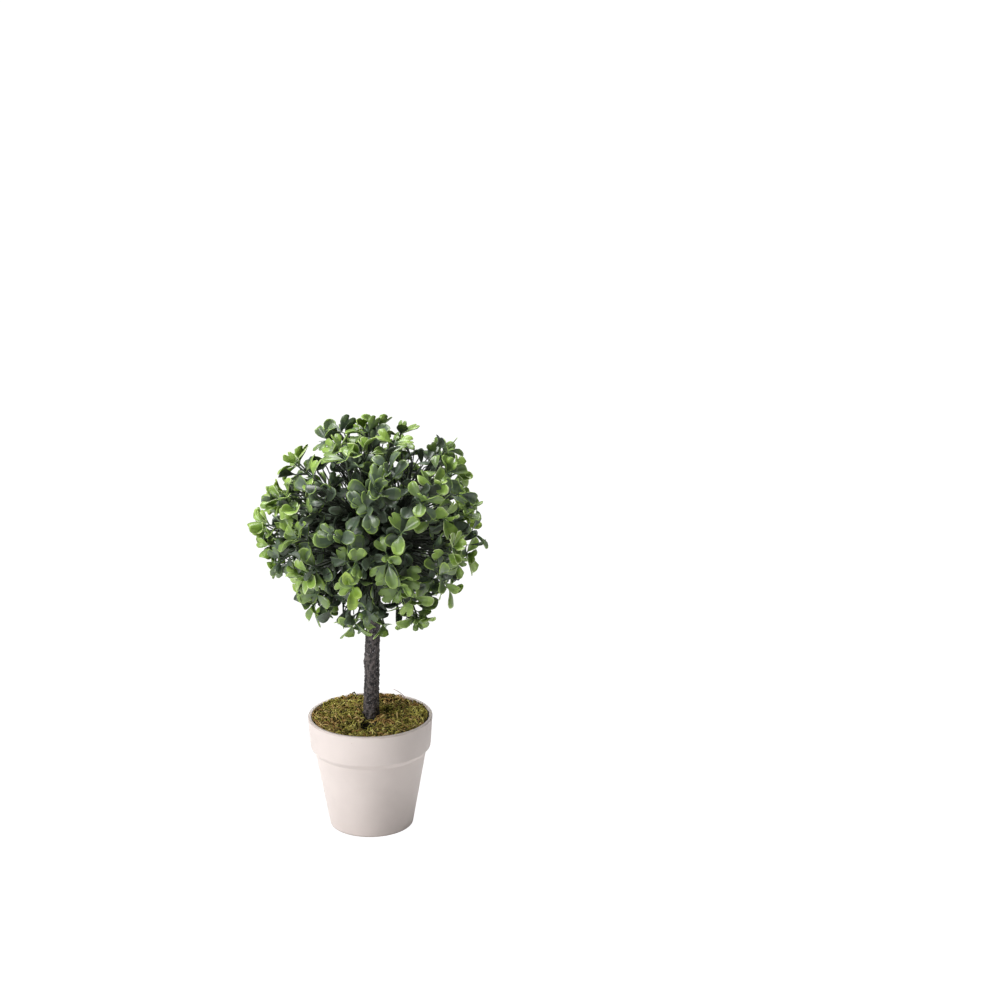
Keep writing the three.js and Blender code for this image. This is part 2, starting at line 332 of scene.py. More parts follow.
def add_node(tree, kind, values=None, links=None, **attributes):
    """A node with attributes, input values and links from other sockets."""
    node = tree.nodes.new(kind)
    for key, value in attributes.items():
        setattr(node, key, value)
    for key, value in (values or {}).items():
        node.inputs[key].default_value = value
    for key, socket in (links or {}).items():
        tree.links.new(socket, node.inputs[key])
    return node


def maths(tree, operation, *terms):
    """A Math node's output. Each term is a socket or a number."""
    node = add_node(tree, "ShaderNodeMath", operation=operation)
    for socket, term in zip(node.inputs, terms):
        if isinstance(term, bpy.types.NodeSocket):
            tree.links.new(term, socket)
        else:
            socket.default_value = term
    return node.outputs[0]


def product(tree, first, *others):
    for other in others:
        first = maths(tree, "MULTIPLY", first, other)
    return first


def ramp(tree, factor, low, high):
    """0 at low, 1 at high and a smooth step between them."""
    ends = {"From Min": low, "From Max": high, "To Min": 0, "To Max": 1}
    node = add_node(tree, "ShaderNodeMapRange", ends, {"Value": factor}, interpolation_type="SMOOTHSTEP")
    return node.outputs["Result"]


def blend_colour(tree, factor, first, second):
    """Two colours mixed by a factor. Each is a socket or a colour value."""
    node = add_node(tree, "ShaderNodeMix", links={"Factor": factor}, data_type="RGBA")
    for key, term in (("A", first), ("B", second)):
        socket = [s for s in node.inputs if s.name == key and s.type == "RGBA"][0]
        if isinstance(term, bpy.types.NodeSocket):
            tree.links.new(term, socket)
        else:
            socket.default_value = (*term, 1)
    return [s for s in node.outputs if s.type == "RGBA"][0]


def object_place(tree):
    return tree.nodes.new("ShaderNodeTexCoord").outputs["Object"]


def uneven_surface():
    """Broad and fine unevenness of a moulded or natural surface, as values between 0 and 1."""
    finer = 7.3
    inputs = {"Scale": 100.0, "Detail": 3.0}
    group, taken, given = new_group("uneven_surface", inputs, ("Broad", "Fine"))
    place = object_place(group)
    links = {"Vector": place, "Scale": taken["Scale"], "Detail": taken["Detail"]}
    broad = add_node(group, "ShaderNodeTexNoise", {"Roughness": 0.55}, links)
    links = {"Vector": place, "Scale": product(group, taken["Scale"], finer)}
    fine = add_node(group, "ShaderNodeTexNoise", {"Detail": 2, "Roughness": 0.6}, links)
    group.links.new(broad.outputs["Fac"], given["Broad"])
    group.links.new(fine.outputs["Fac"], given["Fine"])
    return group


def sparse_specks():
    """Sparse small round specks, 1 on a speck and 0 elsewhere."""
    inputs = {"Scale": 200.0, "Size": 0.1, "Share": 0.1}
    group, taken, given = new_group("sparse_specks", inputs, ("Mask",))
    links = {"Vector": object_place(group), "Scale": taken["Scale"]}
    cells = add_node(group, "ShaderNodeTexVoronoi", {"Randomness": 1.0}, links)
    near = maths(group, "LESS_THAN", cells.outputs["Distance"], taken["Size"])
    chosen = add_node(group, "ShaderNodeSeparateColor", links={"Color": cells.outputs["Color"]})
    rare = maths(group, "LESS_THAN", chosen.outputs[0], taken["Share"])
    group.links.new(product(group, near, rare), given["Mask"])
    return group


def new_material(name):
    """A material, its node tree and its Principled shader."""
    material = bpy.data.materials.new(name)
    material.use_nodes = True
    return material, material.node_tree, material.node_tree.nodes["Principled BSDF"]


def set_gloss(tree, shader, unevenness, spread, lowest):
    """Roughness that rises with the unevenness from the lowest value."""
    tree.links.new(maths(tree, "MULTIPLY_ADD", unevenness, spread, lowest), shader.inputs["Roughness"])


def set_bump(tree, shader, height, strength, distance):
    values = {"Strength": strength, "Distance": distance}
    node = add_node(tree, "ShaderNodeBump", values, {"Height": height})
    tree.links.new(node.outputs["Normal"], shader.inputs["Normal"])


def pot_material(look, lip_height, lip_radius):
    """Cream moulded plastic, mottled and specked, with a rubbed lip and painted shade along the foot."""
    material, tree, shader = new_material("cream_moulded_plastic")
    uneven = placed_group(tree, uneven_surface, Scale=38, Detail=4)
    specks = placed_group(tree, sparse_specks, Scale=95, Size=0.075, Share=0.15)
    axes = add_node(tree, "ShaderNodeSeparateXYZ", links={"Vector": object_place(tree)}).outputs
    mottle = product(tree, ramp(tree, uneven["Broad"], 0.35, 0.75), 0.4)
    band = rubbed_lip(tree, axes, lip_height, lip_radius)
    rubbed = product(tree, band, ramp(tree, uneven["Broad"], 0.3, 0.6), 0.42)
    # Painted shade: the wall darkens to the brown in its lowest 1.3 mm, where the foot meets the floor.
    foot = product(tree, ramp(tree, axes["Z"], 1.3 * MM, 0.5 * MM), 0.8)
    # The real specks, and the painted shade along the foot.
    specks_and_foot_shade = maths(tree, "MAXIMUM", product(tree, specks["Mask"], 0.6), foot)
    colour = blend_colour(tree, mottle, look.body_colour, look.shade_colour)
    colour = blend_colour(tree, rubbed, colour, look.wear_and_foot_shade_colour)
    colour = blend_colour(tree, specks_and_foot_shade, colour, look.wear_and_foot_shade_colour)
    tree.links.new(colour, shader.inputs["Base Color"])
    set_gloss(tree, shader, uneven["Fine"], 0.22, 0.46)
    set_bump(tree, shader, uneven["Fine"], 0.12, 0.15 * MM)
    return material


def rubbed_lip(tree, axes, height, radius):
    """1 along the outer shoulder of a lip of that height, outside that radius."""
    below = ramp(tree, axes["Z"], height - 1.5 * MM, height - 0.8 * MM)
    above = ramp(tree, axes["Z"], height, height - 0.4 * MM)
    square = maths(tree, "MULTIPLY_ADD", axes["X"], axes["X"], product(tree, axes["Y"], axes["Y"]))
    outside = maths(tree, "GREATER_THAN", maths(tree, "SQRT", square), radius)
    return product(tree, below, above, outside)


def bark_material(look):
    """Bark with near-black painted shade in its grooves and grey-brown on its grains, with pale flecks."""
    material, tree, shader = new_material("moulded_bark")
    uneven = placed_group(tree, uneven_surface, Scale=260, Detail=6)
    specks = placed_group(tree, sparse_specks, Scale=820, Size=0.36, Share=0.22)
    relief = add_node(tree, "ShaderNodeAttribute", attribute_name="relief")
    # Painted shade: the colour falls to near-black with the depth of the relief.
    high = ramp(tree, relief.outputs["Fac"], 0.3, 0.74)
    pale = product(tree, specks["Mask"], ramp(tree, uneven["Broad"], 0.4, 0.6), 0.62)
    colour = blend_colour(tree, high, look.groove_shade_colour, look.bark_colour)
    colour = blend_colour(tree, pale, colour, look.fleck_colour)
    tree.links.new(colour, shader.inputs["Base Color"])
    set_gloss(tree, shader, uneven["Fine"], 0.25, 0.55)
    set_bump(tree, shader, uneven["Fine"], 0.8, 0.3 * MM)
    return material


def moss_bed_material(look):
    """The bed that shows between the strands, dark with painted shade of the gaps."""
    material, tree, shader = new_material("moss_bed_dark")
    uneven = placed_group(tree, uneven_surface, Scale=190, Detail=5)
    # Painted shade: in patches, the bed mixes down to a third of its colour.
    deepest_bed_shade = tuple(channel * 0.3 for channel in look.bed_shade_colour)
    colour = blend_colour(tree, ramp(tree, uneven["Fine"], 0.35, 0.65), deepest_bed_shade, look.bed_shade_colour)
    tree.links.new(colour, shader.inputs["Base Color"])
    shader.inputs["Roughness"].default_value = 0.95
    set_bump(tree, shader, uneven["Fine"], 0.8, 0.6 * MM)
    return material


def plain_material(name, colour, roughness=0.5, spread=0.2, scale=400, specular=0.5):
    """One base colour, dealt out by spray or strand, with uneven gloss."""
    material, tree, shader = new_material(name)
    shader.inputs["Base Color"].default_value = (*colour, 1)
    shader.inputs["Specular IOR Level"].default_value = specular
    uneven = placed_group(tree, uneven_surface, Scale=scale, Detail=2)
    set_gloss(tree, shader, uneven["Broad"], spread, roughness - spread / 2)
    return material


def toned(name, tones, **finish):
    """A plain material of each tone, all of one finish."""
    return [plain_material(f"{name}_{i + 1}", linear(*tone), **finish) for i, tone in enumerate(tones)]


# -------------------- Pot


class BOXBALL_OT_pot(Operator):
    """Turns the cream pot with its collar, flat lip and flat underside"""

    bl_idname = "boxball.pot"
    bl_label = "Pot"
    SIDES = 128

    def execute(self, context):
        look = settings("box_ball_pot")
        low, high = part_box("pot")
        base, rim, top = low.z, high.x, high.z
        profile = self.outside(look, base, rim, top) + self.inside(look, base, rim, top)
        mesh = mesh_from(spun(profile, self.SIDES), "pot_shell")
        finish_piece(mesh, [pot_material(look, top, rim - look.wall / 2)], ["pot"])
        return {"FINISHED"}

    @staticmethod
    def outside(look, base, rim, top):
        """From the middle of the underside up the wall and the collar to the middle of the lip."""
        foot, crease, shoulder, lip = look.foot_edge, look.crease, look.shoulder, look.lip_edge
        shoulder_height = top - look.collar_drop
        step_height = shoulder_height - look.undercut
        wall_slope = math.degrees(math.atan2(look.wall_top_radius - look.base_radius, step_height))
        collar_slope = math.degrees(math.atan2(rim - look.collar_foot_radius, look.collar_drop))
        return [
            (0, base),
            *arc(look.base_radius - foot, base + foot, foot, -90, -wall_slope, 5),
            *arc(
                look.wall_top_radius + 0.4 * crease, step_height - 0.7 * crease, crease,
                180 - wall_slope, 125, 3,
            ),
            *arc(
                look.collar_foot_radius - shoulder, shoulder_height + 0.35 * shoulder, shoulder,
                -50, -collar_slope, 5,
            ),
            *arc(rim - lip, top - lip, lip, 0, 90, 5),
        ]

    @staticmethod
    def inside(look, base, rim, top):
        """From the middle of the lip down the inner wall to the middle of the pot's floor."""
        wall, lip = look.wall, look.lip_edge
        shoulder_height = top - look.collar_drop
        floor = base + look.floor
        return [
            *arc(rim - wall + lip, top - lip, lip, 90, 180, 5),
            (look.collar_foot_radius - wall + 0.1 * MM, shoulder_height),
            (look.wall_top_radius - wall, shoulder_height - look.undercut),
            (look.base_radius - wall + 0.2 * MM, floor),
            (0, floor),
        ]


# -------------------- Trunk


class BOXBALL_OT_trunk(Operator):
    """Rolls a fine sheet round the frame's trunk and raises the bark's grain and fibres on it"""

    bl_idname = "boxball.trunk"
    bl_label = "Trunk"
    SIDES, STEPS = 92, 390
    CLEAR = 30 * MM  # further out than the trunk's skin is anywhere

    def execute(self, context):
        look = settings("box_ball_trunk")
        low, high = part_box("trunk")
        skin = skin_of("trunk")
        foot_middle, top_middle = (self.middle(height) for height in (low.z, high.z))
        bm = bmesh.new()
        bmesh.ops.create_grid(bm, x_segments=self.SIDES, y_segments=self.STEPS, size=0.5)
        relief = bm.verts.layers.float.new("relief")
        for vert in bm.verts:
            turn = (vert.co.x + 0.5) * math.tau
            share = vert.co.y + 0.5
            height = low.z + (high.z - low.z) * share
            way = Vector((math.cos(turn), math.sin(turn), 0))
            middle = foot_middle.lerp(top_middle, share)
            level = min(max(height, low.z + 0.2 * MM), high.z - 0.2 * MM)
            hit = skin.ray_cast(Vector((middle.x, middle.y, level)) + way * self.CLEAR, -way)[0]
            radius = math.hypot(hit.x - middle.x, hit.y - middle.y)
            fibres, grains = self.relief(middle + way * radius)
            # The relief is kept for the bark's painted shade in the grooves.
            vert[relief] = 0.5 + fibres * 0.4 + grains * 0.6
            vert.co = middle + way * (radius + fibres * look.fibre + grains * look.grain)
        bmesh.ops.remove_doubles(bm, verts=bm.verts, dist=0.01 * MM)
        rims = [edge for edge in bm.edges if edge.is_boundary]
        bmesh.ops.holes_fill(bm, edges=rims, sides=0)
        bmesh.ops.recalc_face_normals(bm, faces=bm.faces)
        finish_piece(mesh_from(bm, "trunk_bark"), [bark_material(look)], ["trunk"])
        return {"FINISHED"}

    @staticmethod
    def middle(height):
        """The middle of the CAD trunk's ring of corners at a height."""
        corners = [vert.co.copy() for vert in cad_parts["trunk"].data.vertices]
        ring = [corner for corner in corners if abs(corner.z - height) < 0.5 * MM]
        return sum(ring, Vector()) / len(ring)

    @staticmethod
    def relief(place):
        """The bark's long fibres and its grains at a place, each between about -0.5 and 0.5."""
        stretched = Vector((place.x, place.y, place.z * 0.22))
        fibres = noise.noise(stretched * 900)
        coarse = noise.noise(place * 480)
        fine = noise.noise(place * 1250 + Vector((3, 7, 1)))
        return fibres * 0.6, max(coarse, -0.2) * 0.7 + fine * 0.55


# -------------------- Moss

# Two greens, a pale green, a brown, a dark green and a straw colour.
MOSS_TONES = [
    (134, 124, 58), (168, 160, 76), (208, 198, 118), (160, 126, 74), (88, 84, 40), (204, 178, 116),
]
# Hollows in the moss: their middles, radii and depths in millimetres. The first two are bare, and show the
# bed's painted shade.
MOSS_HOLLOWS = [
    (-0.5, -20, 5.5, 4.5),
    (-1, -12, 5, 4),
    (12, 6, 5.5, 3.5),
    (26, 28, 8, 1.5),
    (-33, 14, 7, 1.8),
]
BARE_HOLLOWS = MOSS_HOLLOWS[:2]
# Tufts above the lip: their bearings and spreads in degrees, strands and lifts in millimetres.
MOSS_TUFTS = [(116, 8, 16, 0.7), (23, 5, 14, 1.8), (77, 4, 8, 0.5)]


class BOXBALL_OT_moss(Operator):
    """Lays the moss bed in the pot and covers it with curly strands"""

    bl_idname = "boxball.moss"
    bl_label = "Moss"
    SEED = 5
    SIDES, RINGS = 110, 26

    def execute(self, context):
        look = settings("box_ball_moss")
        low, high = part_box("moss_bed")
        self.look, self.edge, self.top = look, high.x - 0.3 * MM, high.z
        self.ground = skin_of("moss_bed")
        strand_tones = toned("moss_strand", MOSS_TONES, roughness=0.8, scale=300, specular=0.25)
        hair_tone = plain_material("red_hair", look.hair_colour, roughness=0.6, spread=0.1, scale=300)
        finish_piece(self.bed(low.z), [moss_bed_material(look)], ["moss_bed"])
        finish_piece(self.strands(), strand_tones, ["moss_bed"])
        finish_piece(self.hair(), [hair_tone], ["moss_bed"])
        return {"FINISHED"}

    def height(self, x, y):
        """The bed's height: the frame's own top with hollows and clumps."""
        hit = self.ground.ray_cast(Vector((x, y, self.top + 50 * MM)), Vector((0, 0, -1)))[0]
        level = hit.z if hit and hit.z > self.top - 8 * MM else self.top - 2 * MM
        for hollow_x, hollow_y, radius, depth in MOSS_HOLLOWS:
            away = math.hypot(x - hollow_x * MM, y - hollow_y * MM) / (radius * MM)
            level -= depth * MM * math.exp(-away * away)
        broad = noise.noise(Vector((x, y, 0.3)) * 170)
        fine = noise.noise(Vector((x, y, 0.7)) * 460)
        return level + self.look.fullness + (0.8 * broad + 0.5 * fine) * self.look.clump

    def bed(self, floor):
        """A full body down to the pot's floor, with an uneven top and a socket for the trunk."""
        top, edge, socket = self.top - 2 * MM, self.edge, self.look.socket
        profile = [(socket, floor), (edge * 0.66, floor), (edge * 0.885, top - 23 * MM)]
        profile += [(edge - (edge - socket) * i / self.RINGS, top) for i in range(self.RINGS + 1)]
        bm = spun(profile + [(socket, floor)], self.SIDES)
        for vert in bm.verts:
            if vert.co.z > top - 0.1 * MM:
                vert.co.z = self.height(vert.co.x, vert.co.y)
        return mesh_from(bm, "moss_bed_core")

    def strands(self):
        rng, rod, heap = random.Random(self.SEED), Rod(3, 6), Heap()
        t = np.linspace(0, 1, rod.steps + 1)
        for radius, turn, heading, lift in self.strand_places(rng):
            x, y = radius * math.cos(turn), radius * math.sin(turn)
            if self.in_bare_hollow(x, y, 0.8):
                continue
            length = self.look.strand_length * rng.uniform(0.5, 1.35)
            curl, wave, phase = rng.uniform(-2.6, 2.6), rng.uniform(0.05, 0.16), rng.uniform(0, math.tau)
            rise = rng.uniform(0.1, 1.0) ** 2 * 3.2 * MM
            px, py = self.strand_plan(x, y, heading + curl * t, length / rod.steps, lift)
            if any(self.in_bare_hollow(px[i], py[i], 0.6) for i in (rod.steps // 2, rod.steps)):
                continue
            ground = np.array([self.height(*place) for place in zip(px, py)])
            level = ground[0] + (ground[-1] - ground[0]) * t
            pz = ground * 0.7 + level * 0.3 - 0.3 * MM + rise * np.sin(math.pi * t)
            pz = pz + wave * length * np.sin(phase + 9 * t) * 0.6 + lift
            thickness = 1 - 0.55 * np.abs(2 * t - 0.8) ** 2
            radii = self.look.strand_radius * rng.uniform(0.55, 1.5) * thickness
            heap.add_rod(rod, np.stack([px, py, pz], 1), radii, self.tone(x, y, rng))
        return heap.mesh("moss_strands")

    def strand_plan(self, x, y, headings, step, lift):
        """A strand's points seen from above: steps along its headings, kept inside the pot."""
        px = x + np.concatenate([[0], np.cumsum(np.cos(headings[1:]) * step)])
        py = y + np.concatenate([[0], np.cumsum(np.sin(headings[1:]) * step)])
        inside = np.minimum(1, (self.edge - 0.4 * MM + lift) / np.hypot(px, py))
        return px * inside, py * inside

    @staticmethod
    def in_bare_hollow(x, y, share):
        """Whether a place is within a share of the radius of a bare hollow."""
        away = [(math.hypot(x / MM - hx, y / MM - hy), radius) for hx, hy, radius, _ in BARE_HOLLOWS]
        return any(distance < radius * share for distance, radius in away)

    def strand_places(self, rng):
        """Each strand's radius, bearing and heading, and how far it is lifted off the bed."""
        look, outer = self.look, self.edge - 0.8 * MM
        for _ in range(look.strands):
            radius = math.sqrt(rng.uniform((look.socket * 0.9) ** 2, outer**2))
            yield radius, rng.uniform(0, math.tau), rng.uniform(0, math.tau), 0
        for _ in range(look.edge_strands):
            turn = rng.uniform(0, math.tau)
            heading = turn + rng.choice((-1, 1)) * math.pi / 2 + rng.gauss(0, 0.35)
            radius = outer - rng.uniform(0, 1.5) * MM
            yield radius, turn, heading, rng.uniform(0, 0.5 - 0.7 * math.sin(turn)) * MM
        for bearing, spread, count, lift in MOSS_TUFTS:
            for _ in range(count):
                turn = math.radians(bearing + rng.gauss(0, spread / 2))
                radius = outer - rng.uniform(0, 3) * MM
                yield radius, turn, rng.uniform(0, math.tau), lift * rng.uniform(0.4, 1) * MM

    @staticmethod
    def tone(x, y, rng):
        """Patches of green and of brown, with strands of every tone mixed in."""
        patch = noise.noise(Vector((x, y, 2.1)) * 75) + rng.gauss(0, 0.32)
        if patch > 0.12:
            return rng.choice((1, 2, 1, 0))
        if patch < -0.3:
            return rng.choice((3, 3, 5, 4))
        return rng.choice((0, 0, 4, 1, 3, 5))

    def hair(self):
        """The loose hair, which rises behind the trunk and leans to the left."""
        rod, heap, reach = Rod(4, 10), Heap(), self.look.hair_length
        start = np.array([22.5 * MM, 27 * MM, self.top - 1.5 * MM])
        bend = start + np.array([0.06, 0.05, 0.42]) * reach
        end = start + np.array([-0.62, 0.05, 0.72]) * reach
        heap.add_rod(rod, curve_points(start, bend, end, rod.steps), rod.taper(0.26 * MM, 0.16 * MM))
        return heap.mesh("moss_hair")


# -------------------- Leaves

# From the near-black green of the innermost leaves, which is painted shade, to the pale green of the rims,
# which is a painted highlight, and then the three yellow-greens of the youngest leaves.
LEAF_TONES = [
    (55, 65, 47), (70, 84, 66), (82, 99, 78), (97, 116, 80), (106, 129, 74), (115, 142, 68),
    (123, 153, 66), (139, 169, 74), (157, 185, 92), (177, 200, 124), (201, 217, 156),
    (115, 143, 46), (135, 163, 54), (157, 183, 78),
]
# Each kind of leaf is a run of those tones from its stalk to its tip, and then its rim's tone, mostly
# paler, a painted highlight along the edge; the dark kind's run is painted shade.
LEAF_KINDS = {
    "dark": ((0, 0, 0, 1, 1), 2),
    "old": ((1, 1, 1, 2, 3), 4),
    "blue": ((1, 1, 2, 3, 5), 7),
    "green": ((2, 3, 4, 5, 7), 8),
    "fresh": ((3, 5, 6, 7, 8), 10),
    "lime": ((5, 6, 11, 12, 13), 13),
}
# Added to the zones of a leaf's underside faces, and the zone of its rim.
UNDER_ZONE = 200
RIM_ZONE = 500
# How a kind of leaf is laid out, and the width, cup, curl, crease and twist of each of its forms.
SPOON = {"levels": (0, 0.22, 0.45, 0.68, 0.85, 0.95), "columns": 4, "widest": 0.68, "lobes": False}
SPOON_FORMS = [
    (0.52, 0.50, 0.30, 0.00, 0.15),
    (0.55, 0.30, 0.10, 0.14, -0.30),
    (0.46, 0.80, 0.40, 0.00, 0.30),
    (0.57, -0.30, 0.25, 0.10, 0.00),
    (0.50, 0.60, -0.20, 0.06, -0.45),
]
HEART = {"levels": (0, 0.42, 0.74), "columns": 8, "widest": 0.76, "lobes": True}
HEART_FORMS = [
    (0.80, 0.22, 0.20, 0.26, 0.10),
    (0.74, 0.12, 0.35, 0.12, -0.20),
    (0.84, 0.05, 0.10, 0.36, 0.20),
    (0.70, -0.20, 0.30, 0.20, 0.00),
]


class Leaf:
    """The outline of a moulded leaf of length 1, laid on a grid.

    Its sides run up a stalk and swell to the corners of a cap, which is one round end or two lobes.
    Levels are the heights of the grid's rows along the blade, the last of them the cap's corners.
    """

    STALK, STALK_WIDTH = 0.18, 0.024

    def __init__(self, levels, columns, width, widest, lobes):
        self.levels, self.columns, self.lobes = levels, columns, lobes
        self.width, self.widest = width, widest

    def half_width(self, t):
        """Half the blade's width at a share t of its length: a straight taper with a round end."""
        if t < self.widest:
            full = math.sin(math.pi / 2 * t / self.widest) ** 1.1
        else:
            full = math.sqrt(1 - ((t - self.widest) / (1.03 - self.widest)) ** 2)
        return self.STALK_WIDTH + (self.width / 2 - self.STALK_WIDTH) * full

    def cap(self, side):
        """Where the blade's end lies across the leaf, from 0 at the corners to 1 at the tip."""
        if not self.lobes:
            return 1 - side * side
        away = (abs(side) - 0.5) / 0.5
        notch = max(0, 1 - abs(side) * 4)
        return math.sqrt(max(0, 1 - away * away)) * (1 - notch) - 0.1 * notch

    def place(self, row, side, grow):
        """A point of the grid. Grow moves the outline outwards for the sloping rim."""
        if row == 0:
            return side * (self.STALK_WIDTH + grow * 0.2), 0
        corner = self.levels[-1]
        t = self.levels[row - 1]
        fullness = (t / corner) ** 3
        y = t + (1 - corner) * fullness * self.cap(side)
        x = side * self.half_width(t)
        if abs(side) == 1:
            x += side * grow * (0.3 if t == 0 else 1)
        if row == len(self.levels):
            y += grow
        return x, self.STALK + y * (1 - self.STALK)


def leaf_shape(leaf, thickness, cup, curl, crease, twist):
    """A closed leaf along Y with its upper side towards +Z, its rim sloping out to the underside.

    A face's zone tells how far it is from the stalk to the tip and the margin, in hundredths.
    """
    rows, columns = len(leaf.levels), leaf.columns
    bm = bmesh.new()
    bmesh.ops.create_grid(bm, x_segments=columns, y_segments=rows, size=0.5)
    for face in bm.faces:
        middle = face.calc_center_median()
        outward = abs(middle.x) * 2
        face.material_index = int(100 * min(1, (middle.y + 0.5) * (0.8 + 0.3 * outward)))
    upper = list(bm.faces)
    grown = bmesh.ops.extrude_face_region(bm, geom=upper, use_keep_orig=True)["geom"]
    lower = {item for item in grown if isinstance(item, bmesh.types.BMVert)}
    for face in bm.faces:
        below = sum(vert in lower for vert in face.verts)
        if below == len(face.verts):
            face.material_index += UNDER_ZONE
        elif below:
            face.material_index = RIM_ZONE
    for vert in bm.verts:
        under = vert in lower
        row, side = round((vert.co.y + 0.5) * rows), vert.co.x * 2
        x, y = leaf.place(row, side, thickness * 0.65 if under else 0)
        blade = max(0, y - leaf.STALK)
        z = cup * x * x * 4 - curl * blade * blade + crease * abs(x)
        if under:
            z -= thickness
        angle = twist * y
        sine, cosine = math.sin(angle), math.cos(angle)
        vert.co = (x * cosine - z * sine, y, x * sine + z * cosine)
    bmesh.ops.recalc_face_normals(bm, faces=bm.faces)
    return Shape(bm)


def leaf_shapes(layout, forms, thickness):
    """Every form of a kind of leaf."""
    return [leaf_shape(Leaf(width=width, **layout), thickness, *form) for width, *form in forms]


# -------------------- Crown


def any_side(axis, rng):
    """A random direction square to an axis."""
    return axis.cross(Vector((rng.gauss(0, 1), rng.gauss(0, 1), rng.gauss(0, 1)))).normalized()


def point_on(path, share):
    """The place and the direction at a share of a path's length."""
    place = share * (len(path) - 1)
    index = min(int(place), len(path) - 2)
    here, there = Vector(path[index]), Vector(path[index + 1])
    return here.lerp(there, place - index), Vector(path[index + 1] - path[index]).normalized()


class BOXBALL_OT_crown(Operator):
    """Grows boughs, stems and leaves from the frame's trunk to the skins of its foliage masses"""

    bl_idname = "boxball.crown"
    bl_label = "Crown"
    # The height of the ball above its centre, as a share of its width.
    RISE = 0.468
    # Radii in millimetres, at the foot and the tip. A stem's tip is a share of its foot.
    BOUGH_RADII, TWIG_RADII, STALK_RADII = (1.7, 1.15), (0.52, 0.42), (0.55, 0.38)
    NEEDLE_RADII = (0.3, 0.255, 0.165)
    STEM_TAPER = 0.7
    # Directions that run closer than this to straight down would follow the trunk.
    STEEPEST = -0.97
    # The share of leaves left out: of a dark pair, deep in the crown, and of any other pair.
    DARK_GAPS, GAPS = 0.6, 0.12
    STALKS = 6

    def execute(self, context):
        look = settings("box_ball_crown")
        self.look, self.rng = look, random.Random(look.seed)
        self.read_frame()
        self.stem_rod, self.twig_rod, self.needle_rod = Rod(6, 8), Rod(5, 4), Rod(4, 2)
        self.boughs, self.stems, self.stalks, self.needles = Heap(), Heap(), Heap(), Heap()
        self.spoons, self.hearts, self.inner = Heap(), Heap(), Heap()
        self.spoon_shapes = leaf_shapes(SPOON, SPOON_FORMS, look.leaf_thickness / look.spoon_length)
        self.heart_shapes = leaf_shapes(HEART, HEART_FORMS, look.leaf_thickness / look.heart_length)
        for bough in self.bough_ends.values():
            self.grow_bough(*bough)
        for direction in self.directions(look.sprays):
            self.grow_spray(direction)
        self.fill_core()
        self.join_up()
        return {"FINISHED"}

    # ---------------- reading the frame

    def read_frame(self):
        """Where the crown's centre is, how each mass lies and where each bough starts and ends."""
        boxes = {name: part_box(name) for name in MASS_NODES}
        low = Vector([min(box[0][i] for box in boxes.values()) for i in range(3)])
        high = Vector([max(box[1][i] for box in boxes.values()) for i in range(3)])
        self.centre = (low + high) / 2
        self.centre.z = high.z - (high.x - low.x) * self.RISE
        self.trunk_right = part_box("trunk")[1].x
        self.skins = [skin_of(name) for name in MASS_NODES]
        self.headings, self.bough_ends = {}, {}
        for name, box in boxes.items():
            label = name.removeprefix("foliage_")
            middle = (box[0] + box[1]) / 2
            self.headings[label] = (middle - self.centre).normalized()
            self.bough_ends[label] = self.ends(f"bough_{label}", middle)

    def ends(self, bough, mass):
        """A CAD bough's foot and tip: the middles of its points furthest from and nearest to its mass."""
        corners = [vert.co.copy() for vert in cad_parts[bough].data.vertices]
        corners.sort(key=lambda corner: (corner - mass).length)
        few = max(1, len(corners) // 8)
        tip = sum(corners[:few], Vector()) / few
        foot = sum(corners[-few:], Vector()) / few
        return foot, tip

    def reach(self, direction):
        """How far the frame's masses reach from the crown's centre in a direction."""
        start = self.centre + direction * 120 * MM
        found = [skin.ray_cast(start, -direction, 100 * MM)[0] for skin in self.skins]
        lengths = [(hit - self.centre).length for hit in found if hit]
        return max(lengths) if lengths else 70 * MM

    def directions(self, count):
        """Even but jittered directions round the ball, without those that would follow the trunk down."""
        golden = math.pi * (3 - math.sqrt(5))
        for number in range(count):
            z = 1 - 2 * (number + 0.5) / count
            level = math.sqrt(1 - z * z)
            way = Vector((level * math.cos(golden * number), level * math.sin(golden * number), z))
            way = (way + Vector([self.rng.gauss(0, 0.11) for _ in range(3)])).normalized()
            if way.z > self.STEEPEST:
                yield way

    # ---------------- growing

    def grow_bough(self, foot, tip):
        """One tapering limb from inside the trunk to the mouth of its mass."""
        rod = self.stem_rod
        root = foot + (Vector((self.trunk_right - 3.8 * MM, 0, foot.z)) - foot) * 0.45
        bend = (foot + tip) / 2 + Vector((0, 0, 1.5 * MM))
        radii = rod.taper(*self.BOUGH_RADII) * MM
        self.boughs.add_rod(rod, curve_points(root, bend, tip, rod.steps), radii)

    def grow_spray(self, direction):
        """A leafy stem from its mass's bough to the skin, with crossed pairs of leaves all along it."""
        rng, rod = self.rng, self.stem_rod
        label = max(self.headings, key=lambda key: self.headings[key].dot(direction))
        start = self.bough_ends[label][1]
        end = self.centre + direction * (self.reach(direction) - rng.uniform(6, 11) * MM)
        lean = any_side(direction, rng) * rng.uniform(0, 5) * MM
        bend = start.lerp(end, 0.45) + lean + self.headings[label] * 4 * MM
        path = curve_points(start, bend, end, rod.steps)
        self.stems.add_rod(rod, path, rod.taper(1, self.STEM_TAPER) * self.look.stem_radius)
        tip, outer, inner = self.kinds_of(direction)
        length = (end - start).length
        turn = rng.uniform(0, math.pi)
